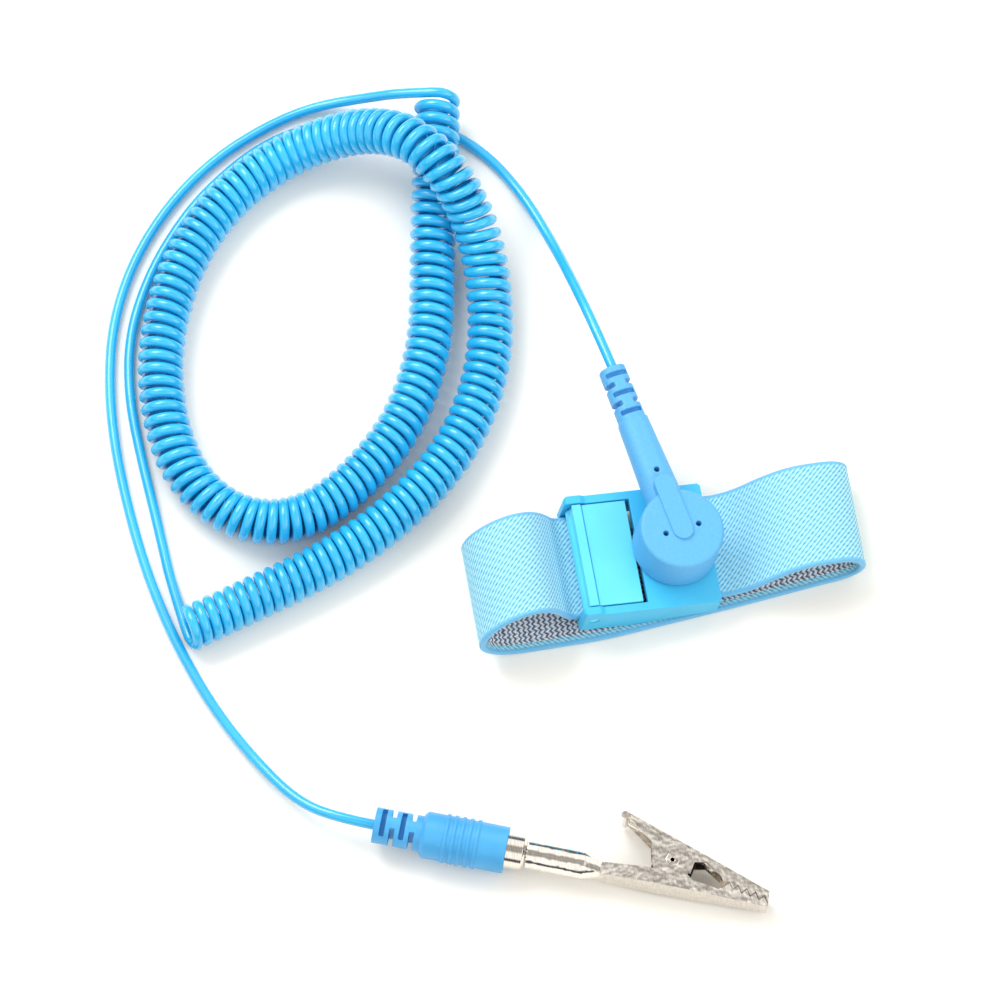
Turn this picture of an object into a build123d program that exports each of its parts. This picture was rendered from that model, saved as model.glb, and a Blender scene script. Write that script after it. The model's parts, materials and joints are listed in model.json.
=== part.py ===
from build123d import *
import math
import os

# An anti-static wrist strap lying on a bench: a flattened elastic loop with its moulded buckle,
# a snap head, a curly cord laid in two turns, and a banana plug that carries a crocodile clip.
# Millimetres. X runs along the flattened loop, Z is up, the loop rests on Z = 0, and the origin is
# on the bench under the middle of the snap stud.

# ---- loop and buckle placement
buckle_tilt = 9.0          # the buckle leans down towards +X, resting on the slack loop
buckle_rest_gap = 0.32     # the buckle's lowest corner over the band that lies under it

# ---- elastic band
band_width = 20.8
band_thickness = 1.3
band_side_gap = 0.3        # band edge to buckle wall
band_face_gap = 0.15       # band face to the parts that clamp it
band_end_cover = 0.6       # each end of the band stops this far inside its plate
band_run_out = 2.8         # straight on past the buckle before the band turns
band_run_in = 1.9
loop_left = -40.3
loop_right = 35.6
left_crown = 16.6          # outside height of the left bulge
right_crown = 12.4         # outside height of the right bulge

# ---- buckle
buckle_left = -19.9
buckle_right = 7.2
wall_thickness = 1.6
top_plate_thickness = 1.8
top_plate_left = -7.1
floor_plate_thickness = 0.9
floor_plate_right = -8.5
skirt_depth_right = 4.6
boss_rise = 0.6
boss_length = 4.2

# ---- lever
lever_left = -18.5
lever_right = -8.0
lever_thickness = 1.3
lever_side_gap = 0.3
lip_width = 1.7
lip_rise = 0.5
lip_groove = 0.3
pivot_x = -17.5
pivot_depth = 3.2
cam_radius = 1.7
ear_thickness = 1.5
trunnion_radius = 0.95
trunnion_clearance = 0.05

# ---- stud, rivet and skin plate
stud_flange_radius = 5.25
stud_flange_thickness = 0.5
stud_head_radius = 3.1
stud_neck_radius = 2.7
stud_height = 3.6
rivet_radius = 1.5
rivet_gap = 0.05
rivet_head_radius = 3.6
rivet_head_thickness = 0.4
skin_plate_thickness = 0.4
skin_plate_length = 12.0
skin_plate_width = 18.0

# ---- snap head
tail_angle = 101.0         # direction of the tail round the stud, from the band's long axis
head_gap = 0.35            # under the head, above the buckle
head_radius = 8.3
head_height = 9.0
head_edge_round = 0.7
tail_reach = 36.0
relief_length = 11.2
tail_width_root = 7.4
tail_width_end = 5.9
relief_width_end = 5.1
tail_axis_height = 5.2
tail_depth_root = 6.8
tail_depth_end = 5.7
slot_width = 0.95
slot_pitch = 2.0
slot_count = 5
slot_web = 1.1             # half the core left between opposite slots
rib_width = 4.0
rib_back = 2.3
rib_front = 11.5
rib_rise = 0.5
pin_hole_radius = 0.55
pin_hole_depth = 2.3
pin_hole_spread = 3.4
tail_hole_reach = 13.2
core_radius = 6.4
core_bottom = 1.2
core_top = 6.6
socket_radius = 5.2
socket_wall = 0.4
socket_bottom = 1.3
socket_top = 5.0
spring_ring_gap = 0.07     # ring over the stud's head
spring_ring_width = 1.0
spring_ring_thickness = 0.6
spring_ring_floor_gap = 0.2
resistor_radius = 1.2
resistor_start = 12.2
resistor_length = 6.5
resistor_lead_radius = 0.3
ferrule_radius = 0.9
ferrule_start = 20.3
ferrule_length = 3.0
conductor_radius = 0.45
fit_gap = 0.05

# ---- cord
wire_diameter = 2.0
coil_diameter = 9.0

# ---- plug
plug_angle = -21.0
plug_tilt = 1.8            # the plug leans down to the clip, which rests on the bench
plug_origin = (-66.2, -45.0, 5.45)
boot_length = 25.6
boot_radius = 4.5
boot_relief_length = 9.2
boot_relief_radius = 3.45
boot_slot_places = (1.7, 3.6, 5.5, 7.4)
boot_ring_rise = 0.26
boot_ring_width = 0.65
boot_ring_count = 5
boot_ring_pitch = 1.5
boot_ring_start = 13.8
shank_radius = 2.0
shank_start = 14.0
shoulder_radius = 3.4
shoulder_length = 3.8
pin_core_radius = 1.2
pin_tip_radius = 1.6
pin_length = 10.6
leaf_radius = 1.98
leaf_thickness = 0.3

# ---- crocodile clip
clip_gap = 0.3             # plug shoulder to clip barrel
sheet = 0.4
barrel_radius = 2.8
barrel_length = 11.0
jaw_length = 46.7
jaw_base = -1.8
ear_radius = 3.9           # the ears are round discs about the pivot
pivot = (27.4, 3.4)
ear_half_width = 3.1
tip_half_width = 1.9
jaw_side_gap = 0.15
tooth_start = 38.0
tooth_count = 5
tooth_height = 1.2
tooth_gap = 0.2
bite_start = 1.0
bite_end = -0.4
neck_end = 15.9            # where the neck ends in the lower jaw's channel
ridge_start = (17.2, 11.4)
ridge_end = 1.35
clip_rivet_radius = 0.8
clip_rivet_gap = 0.05
clip_spring_radius = 1.7
clip_spring_wire = 0.5

# derived
inner_half = band_width / 2 + band_side_gap
outer_half = inner_half + wall_thickness
fixed_band_depth = top_plate_thickness + band_face_gap + band_thickness / 2
cam_bottom = pivot_depth + cam_radius
free_band_depth = cam_bottom + band_face_gap + band_thickness / 2
floor_plate_top = free_band_depth + band_thickness / 2 + band_face_gap
skirt_depth_left = floor_plate_top + floor_plate_thickness
skin_plate_top = fixed_band_depth + band_thickness / 2 + band_face_gap
skin_plate_bottom = skin_plate_top + skin_plate_thickness
clip_start = boot_length + shoulder_length + clip_gap
lowest_corner = max(x * math.sin(math.radians(buckle_tilt)) + depth * math.cos(math.radians(buckle_tilt))
                    for x, depth in ((buckle_right, skirt_depth_right), (floor_plate_right, skirt_depth_left)))
stud_face_height = band_thickness + buckle_rest_gap + lowest_corner   # the top face at the stud's axis


def on_buckle(shape):
    """Place a shape from the buckle's own frame, its origin on the top face at the stud's axis."""
    return Pos(0, 0, stud_face_height) * Rot(0, buckle_tilt, 0) * shape


def on_head(shape):
    """Place a shape whose +X is the tail's direction and whose Z is the stud's axis."""
    return on_buckle(Rot(0, 0, tail_angle) * shape)


def on_plug(shape):
    """Place a shape whose +X is the plug's axis, from the cord end of the boot."""
    return Pos(*plug_origin) * Rot(0, 0, plug_angle) * Rot(0, plug_tilt, 0) * shape


def on_clip(shape):
    """Place a shape in the clip's frame: X along the barrel, Y from jaw to jaw, Z across."""
    return on_plug(Pos(clip_start, 0, 0) * shape)


def buckle_point(x, depth):
    """X and Z on the bench of a point in the buckle, depth below its top face."""
    c = math.cos(math.radians(buckle_tilt))
    s = math.sin(math.radians(buckle_tilt))
    return x * c - depth * s, stud_face_height - x * s - depth * c


def block(x0, x1, y0, y1, z0, z1):
    return Pos((x0 + x1) / 2, (y0 + y1) / 2, (z0 + z1) / 2) * Box(x1 - x0, y1 - y0, z1 - z0)


def rod_x(radius, x0, x1, y=0, z=0):
    return Pos((x0 + x1) / 2, y, z) * Rot(0, 90, 0) * Cylinder(radius, x1 - x0)


def rod_y(radius, y0, y1, x=0, z=0):
    return Pos(x, (y0 + y1) / 2, z) * Rot(90, 0, 0) * Cylinder(radius, y1 - y0)


def rod_z(radius, z0, z1, x=0, y=0):
    return Pos(x, y, (z0 + z1) / 2) * Cylinder(radius, z1 - z0)


def prism_z(points, half_width):
    return extrude(make_face(Polyline(*points, close=True)), amount=half_width, both=True)


def prism_y(points, half_width):
    face = make_face(Polyline(*[(x, 0, z) for x, z in points], close=True))
    return extrude(face, amount=half_width, dir=(0, 1, 0), both=True)


def rounded_path(points):
    """Straight runs joined by tangent arcs, each as large as its runs allow, and the arcs' radii."""
    places = [Vector(*point) for point in points]
    runs = [b - a for a, b in zip(places, places[1:])]
    radii = []
    for before, after in zip(runs, runs[1:]):
        turn = math.radians(before.get_angle(after))
        radii.append(0.45 * min(before.length, after.length) / math.tan(turn / 2))
    return FilletPolyline(*places, radius=radii), radii


# ---- the loop

def elastic_band():
    # The middle line of the band seen from the side, from its riveted end round to its clamped end.
    middle = band_thickness / 2
    riveted_end = buckle_point(top_plate_left + band_end_cover, fixed_band_depth)
    leaves_right = buckle_point(buckle_right + band_run_out, fixed_band_depth)
    enters_left = buckle_point(buckle_left - band_run_in, free_band_depth)
    clamped_end = buckle_point(floor_plate_right - band_end_cover, free_band_depth)
    right = [(13.6, 4.9), (19.0, right_crown - 2.8), (23.9, right_crown - 0.35),
             (29.6, right_crown - 1.2), (loop_right - 2.1, 9.3), (loop_right - 0.3, 5.9),
             (loop_right - 1.3, 2.2), (loop_right - 4.8, middle)]
    left = [(loop_left + 7.1, middle), (loop_left + 2.6, 2.2), (loop_left + 0.2, 6.2),
            (loop_left + 1.4, 11.4), (loop_left + 4.9, left_crown - 1.7),
            (loop_left + 9.7, left_crown - 0.5), (loop_left + 13.7, left_crown - 2.3), (-24.0, 9.4)]
    line = [riveted_end, leaves_right] + right + left + [enters_left, clamped_end]
    path, _ = rounded_path([(x, 0, z) for x, z in line])
    section = Plane(origin=path @ 0, x_dir=(0, 1, 0), z_dir=path % 0) * Rectangle(band_width, band_thickness)
    return sweep(section, path=path) - on_buckle(rod_z(rivet_radius + rivet_gap, -skin_plate_bottom, 0))


def buckle_base():
    side = prism_y([(buckle_left, 0), (buckle_right, 0), (buckle_right, -skirt_depth_right),
                    (floor_plate_right, -skirt_depth_left), (buckle_left, -skirt_depth_left)],
                   outer_half)
    boss = prism_y([(buckle_left, 0), (buckle_left + 0.5, boss_rise),
                    (buckle_left + boss_length - 1, boss_rise), (buckle_left + boss_length, 0)],
                   outer_half)
    body = side + boss
    body -= block(buckle_left - 1, buckle_right + 1, -inner_half, inner_half,
                  -floor_plate_top, -top_plate_thickness)
    body -= block(floor_plate_right, buckle_right + 1, -inner_half, inner_half,
                  -skirt_depth_left - 1, -top_plate_thickness)
    body -= block(buckle_left - 1, top_plate_left, -inner_half, inner_half,
                  -floor_plate_top, boss_rise + 1)
    body -= rod_y(trunnion_radius + trunnion_clearance, -outer_half - 1, outer_half + 1,
                  x=pivot_x, z=-pivot_depth)
    body -= rod_z(rivet_radius + rivet_gap, -top_plate_thickness - 1, 1)
    outer_corners = body.edges().filter_by(Axis.Z).filter_by(
        lambda edge: abs(abs(edge.center().Y) - outer_half) < 0.01)
    return on_buckle(chamfer(outer_corners, 0.5))


def lock_lever():
    half = inner_half - lever_side_gap
    plate = block(lever_left, lever_right, -half, half, -lever_thickness, 0)
    lip = block(lever_left, lever_left + lip_width, -half, half, -lever_thickness, lip_rise)
    groove = block(lever_left + lip_width, lever_left + lip_width + lip_groove,
                   -half - 1, half + 1, -lip_groove, 1)
    ear_outline = [(pivot_x - cam_radius * 0.9, -pivot_depth), (lever_left, -lever_thickness),
                   (lever_left + 7.5, -lever_thickness), (pivot_x + cam_radius * 0.9, -pivot_depth)]
    ears = prism_y(ear_outline, half) - block(lever_left - 9, lever_right, -half + ear_thickness,
                                              half - ear_thickness, -9, -lever_thickness)
    web = block(lever_left, lever_left + lip_width, -half, half, -pivot_depth, -lever_thickness)
    cam = rod_y(cam_radius, -half, half, x=pivot_x, z=-pivot_depth)
    trunnions = rod_y(trunnion_radius, -outer_half + 0.2, outer_half - 0.2,
                      x=pivot_x, z=-pivot_depth)
    return on_buckle(plate + lip - groove + ears + web + cam + trunnions)


def snap_stud():
    stud = rod_z(stud_flange_radius, 0, stud_flange_thickness)
    stud += rod_z(stud_neck_radius, 0, stud_height - 1.2)
    crown = rod_z(stud_head_radius, stud_height - 1.5, stud_height)
    stud += chamfer(crown.edges(), 0.35)
    stud -= rod_z(rivet_radius + rivet_gap, -1, 1.6)
    stud -= rod_z(1.9, 1.2, stud_height - 0.5)
    return on_buckle(stud)


def stud_rivet():
    shank = rod_z(rivet_radius, -skin_plate_bottom, 1.2)
    head = rod_z(rivet_head_radius, -skin_plate_bottom - rivet_head_thickness, -skin_plate_bottom)
    upset = rod_z(1.8, 1.25, 1.8)
    return on_buckle(shank + head + rod_z(rivet_radius, 1.1, 1.3) + upset)


def contact_plate():
    plate = block(-skin_plate_length / 2, skin_plate_length / 2, -skin_plate_width / 2,
                  skin_plate_width / 2, -skin_plate_bottom, -skin_plate_top)
    plate = fillet(plate.edges().filter_by(Axis.Z), 2.0)
    return on_buckle(plate - rod_z(rivet_radius + rivet_gap, -9, 0))


# ---- the snap head

def head_channels():
    """The space that the inner parts take inside the overmould."""
    space = rod_z(core_radius, -1, core_top)
    space += rod_x(resistor_lead_radius + fit_gap, core_radius - 1, resistor_start, z=tail_axis_height)
    space += rod_x(resistor_radius + fit_gap, resistor_start - 0.2,
                   ferrule_start + ferrule_length + 0.2, z=tail_axis_height)
    return space + rod_x(conductor_radius + fit_gap, ferrule_start, tail_reach + 1, z=tail_axis_height)


def tail_section(x, width, depth):
    return Plane(origin=(x, 0, tail_axis_height), x_dir=(0, 1, 0), z_dir=(1, 0, 0)) * RectangleRounded(
        width, depth, min(width, depth) * 0.42)


def head_overmould():
    disc = Pos(0, 0, head_gap) * extrude(Circle(head_radius), amount=head_height, taper=1.2)
    disc = fillet(disc.faces().sort_by(Axis.Z)[-1].edges(), head_edge_round)
    relief_start = tail_reach - relief_length
    tail = loft([tail_section(3, tail_width_root, tail_depth_root),
                 tail_section(relief_start, tail_width_end, tail_depth_end)])
    relief = loft([tail_section(relief_start, tail_width_end - 0.5, tail_depth_end - 0.5),
                   tail_section(tail_reach, relief_width_end, relief_width_end - 0.2)])
    for i in range(slot_count):
        x = tail_reach - 1.7 - i * slot_pitch
        for way in (-1, 1):
            near, far = way * slot_web, way * 6
            if i % 2 == 0:
                relief -= block(x - slot_width / 2, x + slot_width / 2, -2.1, 2.1,
                                tail_axis_height + min(near, far), tail_axis_height + max(near, far))
            else:
                relief -= block(x - slot_width / 2, x + slot_width / 2, min(near, far), max(near, far),
                                tail_axis_height - 6, tail_axis_height + 6)
    top = head_gap + head_height
    rib_length = rib_front + rib_back
    rib = Pos((rib_front - rib_back) / 2, 0, top - 3) * extrude(
        SlotOverall(rib_length, rib_width), amount=3 + rib_rise)
    rib -= block(head_radius - 1, rib_front + 1, -rib_width, rib_width, 0, tail_axis_height)
    head = disc + tail + relief + rib
    for x, y in ((0, pin_hole_spread), (0, -pin_hole_spread)):
        head -= rod_z(pin_hole_radius, top - pin_hole_depth, top + 1, x=x, y=y)
    head -= rod_z(pin_hole_radius, tail_axis_height + tail_depth_end / 2 - pin_hole_depth + 0.4,
                  top + 1, x=tail_hole_reach)
    return on_head(head - head_channels())


def inner_core():
    core = rod_z(core_radius - fit_gap, core_bottom, core_top - fit_gap)
    core -= rod_z(socket_radius + fit_gap, core_bottom - 1, socket_top + fit_gap)
    core -= rod_x(resistor_lead_radius + fit_gap, 3, core_radius + 1, z=tail_axis_height)
    return on_head(core)


def snap_socket():
    cup = rod_z(socket_radius, socket_bottom, socket_top)
    cup -= rod_z(socket_radius - socket_wall, socket_bottom + socket_wall, socket_top - socket_wall)
    cup -= rod_z(stud_head_radius + 0.4, socket_bottom - 1, socket_bottom + 2 * socket_wall)
    tab = block(3.4, 4.6, -0.6, 0.6, socket_top - 0.1, socket_top + fit_gap - 0.01)
    return on_head(cup + tab)


def snap_spring():
    floor = socket_bottom + socket_wall + spring_ring_floor_gap
    inner = stud_head_radius + spring_ring_gap
    ring = rod_z(inner + spring_ring_width, floor, floor + spring_ring_thickness)
    ring -= rod_z(inner, 0, socket_top)
    ring -= block(-8, 0, -1.0, 1.0, 0, socket_top)
    return on_head(ring)


def series_resistor():
    body = rod_x(resistor_radius, resistor_start, resistor_start + resistor_length, z=tail_axis_height)
    return on_head(fillet(body.edges(), 0.4))


def resistor_leads():
    inner = rod_x(resistor_lead_radius, socket_radius + fit_gap, resistor_start, z=tail_axis_height)
    outer = rod_x(resistor_lead_radius, resistor_start + resistor_length, ferrule_start + 1.2,
                  z=tail_axis_height)
    return on_head(Compound(children=[inner, outer]))


def crimp_ferrule():
    tube = rod_x(ferrule_radius, ferrule_start, ferrule_start + ferrule_length, z=tail_axis_height)
    return on_head(tube - rod_x(conductor_radius + fit_gap, ferrule_start - 1,
                                ferrule_start + ferrule_length + 1, z=tail_axis_height))


def head_conductor():
    return on_head(rod_x(conductor_radius, ferrule_start + 1.3, tail_reach, z=tail_axis_height))


# ---- the cord: routes are points on the middle line of the wire or of the coil

head_lead_points = [
    (-7.5, 44.5, 13.4), (-9.8, 56.5, 9.0), (-12.0, 67.8, 3.0), (-15.8, 79.5, 1.0), (-21.8, 89.6, 1.0),
    (-31.2, 97.0, 1.0), (-42.5, 100.2, 1.0), (-53.5, 100.0, 1.0), (-64.0, 97.6, 1.0),
    (-75.0, 90.8, 1.0), (-82.6, 83.8, 1.0), (-90.0, 74.3, 1.0), (-95.5, 63.0, 1.0),
    (-97.6, 50.5, 1.0), (-97.3, 37.5, 1.0), (-96.5, 25.0, 1.0), (-96.0, 13.5, 1.0),
    (-95.0, 2.0, 1.0)]

coil_points = [
    (-94.6, 0.6, 4.5), (-82.0, 4.3, 4.5), (-69.5, 8.0, 4.5), (-57.0, 13.2, 4.5), (-45.0, 21.0, 4.5),
    (-35.0, 31.0, 4.5), (-28.0, 44.5, 4.5), (-25.3, 59.5, 5.0), (-26.0, 71.0, 9.5), (-29.8, 80.0, 17.0),
    (-36.0, 88.8, 17.0), (-45.5, 94.6, 9.5), (-58.0, 94.3, 4.5), (-71.0, 88.0, 4.5),
    (-81.5, 77.5, 4.5), (-89.0, 63.0, 4.5), (-92.1, 47.0, 4.5), (-90.0, 31.0, 4.5),
    (-81.5, 20.8, 4.5), (-70.0, 18.4, 4.5), (-58.0, 24.2, 4.5), (-46.2, 35.0, 4.5),
    (-38.7, 49.8, 4.5), (-35.7, 65.0, 4.5), (-33.4, 77.5, 5.5), (-30.8, 88.4, 6.8), (-28.8, 99.2, 6.8)]

plug_lead_points = [
    (-28.8, 99.2, 10.2), (-36.6, 101.2, 7.8), (-44.8, 103.3, 3.2), (-53.5, 103.8, 1.0), (-63.0, 101.2, 1.0),
    (-73.7, 96.2, 1.0), (-83.4, 88.7, 1.0), (-91.9, 78.7, 1.0), (-97.9, 67.0, 1.0),
    (-100.9, 54.6, 1.0), (-102.0, 41.5, 1.0), (-101.5, 27.0, 1.0), (-100.0, 13.0, 1.0),
    (-97.0, -1.0, 1.0), (-92.0, -15.5, 1.0), (-85.6, -27.8, 1.3), (-79.5, -37.3, 3.2),
    (-72.7, -42.5, 5.66)]


def laid_tube(name, points, diameter):
    path, radii = rounded_path(points)
    tube = sweep(Plane(origin=path @ 0, z_dir=path % 0) * Circle(diameter / 2), path=path)
    share = tube.volume / (math.pi * diameter ** 2 / 4 * path.length)
    runs = [math.dist(a, b) for a, b in zip(points, points[1:])]
    print(name, "length", round(path.length, 1), "least radius", round(min(radii), 1),
          "longest and shortest run", round(max(runs), 1), round(min(runs), 1),
          "volume over section x length", round(share, 3))
    return tube


def tail_tip():
    spot = on_head(Pos(tail_reach, 0, tail_axis_height))
    return tuple(spot.position)


def cord_head_lead():
    return laid_tube("cord_head_lead", [tail_tip()] + head_lead_points, wire_diameter)


def cord_coil():
    return laid_tube("cord_coil", coil_points, coil_diameter)


def cord_plug_lead():
    return laid_tube("cord_plug_lead", plug_lead_points + [plug_origin], wire_diameter)


# ---- the plug

def plug_boot():
    body = rod_x(boot_radius, boot_relief_length, boot_length)
    body = chamfer(body.edges().sort_by(Axis.X)[0], 0.7)
    relief = rod_x(boot_relief_radius, 0, boot_relief_length + 1)
    reach, side = boot_relief_radius * 2, boot_relief_radius * 0.78
    for i, x in enumerate(boot_slot_places):
        for way in (-1, 1):
            low, high = sorted((way * slot_web, way * reach))
            if i % 2 == 0:
                relief -= block(x - slot_width / 2, x + slot_width / 2, -side, side, low, high)
            else:
                relief -= block(x - slot_width / 2, x + slot_width / 2, low, high, -reach, reach)
    boot = body + relief
    for i in range(boot_ring_count):
        x = boot_ring_start + i * boot_ring_pitch
        boot += rod_x(boot_radius + boot_ring_rise, x - boot_ring_width / 2, x + boot_ring_width / 2)
    boot -= rod_x(shank_radius + fit_gap, shank_start - fit_gap, boot_length + 1)
    return on_plug(boot - rod_x(conductor_radius + fit_gap, -1, shank_start))


def banana_body():
    shank = rod_x(shank_radius, shank_start, boot_length)
    shoulder = rod_x(shoulder_radius, boot_length, boot_length + shoulder_length)
    shoulder = chamfer(shoulder.edges().sort_by(Axis.X)[-1], 0.6)
    end = boot_length + shoulder_length + pin_length
    pin = rod_x(pin_core_radius, boot_length, end)
    tip = rod_x(pin_tip_radius, end - 1.2, end)
    return on_plug(shank + shoulder + pin + chamfer(tip.edges().sort_by(Axis.X)[-1], 0.5))


def plug_spring():
    start = boot_length + shoulder_length + clip_gap + 0.2
    end = boot_length + shoulder_length + pin_length - 1.2 - fit_gap
    sleeve = rod_x(leaf_radius, start, end) - rod_x(leaf_radius - leaf_thickness, start - 1, end + 1)
    ends = rod_x(leaf_radius, start, start + 0.6) - rod_x(pin_core_radius + fit_gap, start - 1, end)
    for turn in range(4):
        sleeve -= Rot(45 + 90 * turn, 0, 0) * block(start + 1.4, end - 1.4, -0.5, 0.5, 0.5, leaf_radius + 1)
    return on_plug(sleeve + ends)


def plug_conductor():
    return on_plug(rod_x(conductor_radius, 0, shank_start - fit_gap))


# ---- the clip

def taper(half_at_pivot, half_at_tip, start_half):
    """The clip's width seen from above, as a block much taller than the jaws."""
    right = [(11.5, start_half), (22.5, half_at_pivot), (31.5, half_at_pivot), (jaw_length + 1, half_at_tip)]
    outline = right + [(x, -half) for x, half in reversed(right)]
    face = make_face(Polyline(*[(x, 0, z) for x, z in outline], close=True))
    return extrude(face, amount=20, dir=(0, 1, 0), both=True)


def bite_line(shift):
    """The toothed line where the jaws meet, from the tip back, moved by shift."""
    step = (jaw_length - tooth_start) / tooth_count
    points = []
    for i in range(2 * tooth_count + 1):
        x = jaw_length - i * step / 2
        level = bite_end + (bite_start - bite_end) * (jaw_length - x) / (jaw_length - tooth_start)
        points.append((x, level + shift + (tooth_height / 2 if i % 2 else -tooth_height / 2)))
    return points


def clip_lower_jaw():
    half, start_half = ear_half_width, 2.3
    side = [(neck_end - 1.6, jaw_base), (jaw_length, jaw_base)] + bite_line(-tooth_gap) + [
        (37.0, -0.4), (31.9, 0.3), (30.6, 1.2), (22.5, 1.1), (neck_end - 1.6, 0.6)]
    outer = prism_z(side, 9) + rod_z(ear_radius, -9, 9, x=pivot[0], y=pivot[1])
    outer -= block(0, 60, -9, jaw_base, -9, 9)
    channel = block(neck_end - 2.6, jaw_length + 2, jaw_base + sheet, 9, -9, 9)
    shell = (outer & taper(half, tip_half_width, start_half)) - (
        channel & taper(half - sheet, tip_half_width - sheet, start_half - sheet))
    barrel = rod_x(barrel_radius, 0, barrel_length)
    neck = loft([Plane(origin=(barrel_length - 0.1, 0, 0), z_dir=(1, 0, 0)) * Circle(barrel_radius),
                 Plane(origin=(neck_end, jaw_base / 3, 0), x_dir=(0, 1, 0), z_dir=(1, 0, 0)) * Rectangle(2.0, 4.2)])
    bore = rod_x(shank_radius + fit_gap, -1, barrel_length - 0.4)
    jaw = shell + barrel + neck - bore
    return on_clip(jaw - rod_z(clip_rivet_radius + clip_rivet_gap, -9, 9, x=pivot[0], y=pivot[1]))


def clip_upper_jaw():
    half = ear_half_width - sheet - jaw_side_gap
    fall = (ridge_end - ridge_start[1]) / (jaw_length - ridge_start[0])

    def ridge(x, drop=0.0):
        return ridge_start[1] + fall * (x - ridge_start[0]) - drop

    pad = ridge_start[0] - 0.4
    side = [(jaw_length, ridge_end)] + bite_line(tooth_gap) + [
        (37.4, 1.9), (36.9, 2.5), (33.8, 4.5), (31.6, 4.1), (31.2, 1.6), (25.4, 1.5), (23.4, 4.0), (22.8, 6.6),
        (pad + 0.4, ridge(pad + 0.4, 2 * sheet))]
    roof = [(pad, ridge(pad)), (jaw_length, ridge_end), (jaw_length, ridge_end - sheet), (pad, ridge(pad, sheet))]
    width = taper(half, tip_half_width, half + 0.3)
    inner = taper(half - sheet, tip_half_width - sheet, half - sheet)
    walls = (prism_z(side, 9) & width) - inner
    curl = rod_z(0.8, -half - 0.2, half + 0.2, x=pad + 0.1, y=ridge(pad + 0.1, 0.8))
    jaw = walls + (prism_z(roof, 9) & width) + curl
    return on_clip(jaw - rod_z(clip_rivet_radius + clip_rivet_gap, -9, 9, x=pivot[0], y=pivot[1]))


def clip_rivet():
    reach = ear_half_width + 0.35
    pin = rod_z(clip_rivet_radius, -reach, reach, x=pivot[0], y=pivot[1])
    for way in (-1, 1):
        pin += rod_z(1.3, min(way * ear_half_width, way * reach), max(way * ear_half_width, way * reach),
                     x=pivot[0], y=pivot[1])
    return on_clip(pin - rod_z(0.4, -9, 9, x=pivot[0], y=pivot[1]))


def clip_spring():
    turns = 3
    spring = rod_z(clip_spring_radius, -turns * clip_spring_wire / 2, turns * clip_spring_wire / 2,
                   x=pivot[0], y=pivot[1])
    spring -= rod_z(clip_rivet_radius + 0.2, -9, 9, x=pivot[0], y=pivot[1])
    arm = clip_spring_radius - clip_spring_wire / 2
    lower = rod_x(clip_spring_wire / 2, pivot[0] - 4.0, pivot[0], z=-0.5)
    lower = Pos(0, pivot[1] - arm, 0) * lower
    return on_clip(spring + lower)


makers = [
    elastic_band, buckle_base, lock_lever, snap_stud, stud_rivet, contact_plate,
    head_overmould, inner_core, snap_socket, snap_spring, series_resistor, resistor_leads,
    crimp_ferrule, head_conductor, cord_head_lead, cord_coil, cord_plug_lead,
    plug_boot, banana_body, plug_spring, plug_conductor,
    clip_lower_jaw, clip_upper_jaw, clip_rivet, clip_spring,
]

os.makedirs("parts", exist_ok=True)
for maker in makers:
    export_step(maker(), f"parts/{maker.__name__}.step")
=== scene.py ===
import json
import math

import bmesh
import bpy
import numpy as np
from mathutils import Matrix, Vector

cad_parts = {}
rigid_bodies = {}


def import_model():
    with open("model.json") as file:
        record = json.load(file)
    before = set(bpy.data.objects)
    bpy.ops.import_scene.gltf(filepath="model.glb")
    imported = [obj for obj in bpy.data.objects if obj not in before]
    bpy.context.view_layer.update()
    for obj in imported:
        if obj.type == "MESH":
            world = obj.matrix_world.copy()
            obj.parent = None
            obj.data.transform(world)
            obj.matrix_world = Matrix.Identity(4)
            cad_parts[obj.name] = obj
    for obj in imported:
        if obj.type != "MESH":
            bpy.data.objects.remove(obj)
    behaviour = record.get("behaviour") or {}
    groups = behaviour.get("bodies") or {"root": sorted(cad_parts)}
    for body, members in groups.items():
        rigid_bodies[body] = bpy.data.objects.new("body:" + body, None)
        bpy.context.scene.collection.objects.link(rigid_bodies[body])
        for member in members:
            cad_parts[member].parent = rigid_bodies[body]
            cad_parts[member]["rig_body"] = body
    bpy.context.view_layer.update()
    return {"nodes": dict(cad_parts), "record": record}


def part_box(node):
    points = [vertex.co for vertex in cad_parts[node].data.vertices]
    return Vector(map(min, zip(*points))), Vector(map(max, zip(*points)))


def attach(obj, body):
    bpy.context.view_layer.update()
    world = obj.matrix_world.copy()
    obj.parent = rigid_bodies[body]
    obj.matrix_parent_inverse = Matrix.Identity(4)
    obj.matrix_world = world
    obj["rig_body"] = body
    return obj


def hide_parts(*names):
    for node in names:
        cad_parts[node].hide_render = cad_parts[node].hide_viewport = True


# An anti-static wrist strap on a bench: elastic loop, lever buckle, snap head, curly cord, banana plug
# and crocodile clip. Metres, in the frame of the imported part: X along the flattened loop, Z up.

mm = 0.001


def linear(code):
    # sRGB hex to the linear colour that shaders take
    parts = [int(code[i:i + 2], 16) / 255 for i in (1, 3, 5)]
    return tuple(c / 12.92 if c <= 0.04045 else ((c + 0.055) / 1.055) ** 2.4 for c in parts) + (1.0,)


def addNode(tree, kind, settings=None, links=None):
    # settings go to the sockets or to the node's own properties, links are {socket: output}
    node = tree.nodes.new(kind)
    for name, value in (settings or {}).items():
        if hasattr(node, str(name)):
            setattr(node, name, value)
        else:
            node.inputs[name].default_value = value
    for name, output in (links or {}).items():
        tree.links.new(output, node.inputs[name])
    return node


def newMaterial(name, shader):
    material = bpy.data.materials.new(name)
    material.use_nodes = True
    tree = material.node_tree
    tree.nodes.clear()
    surface = addNode(tree, "ShaderNodeBsdfPrincipled", shader)
    addNode(tree, "ShaderNodeOutputMaterial", None, {"Surface": surface.outputs["BSDF"]})
    return material, tree, surface


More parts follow.
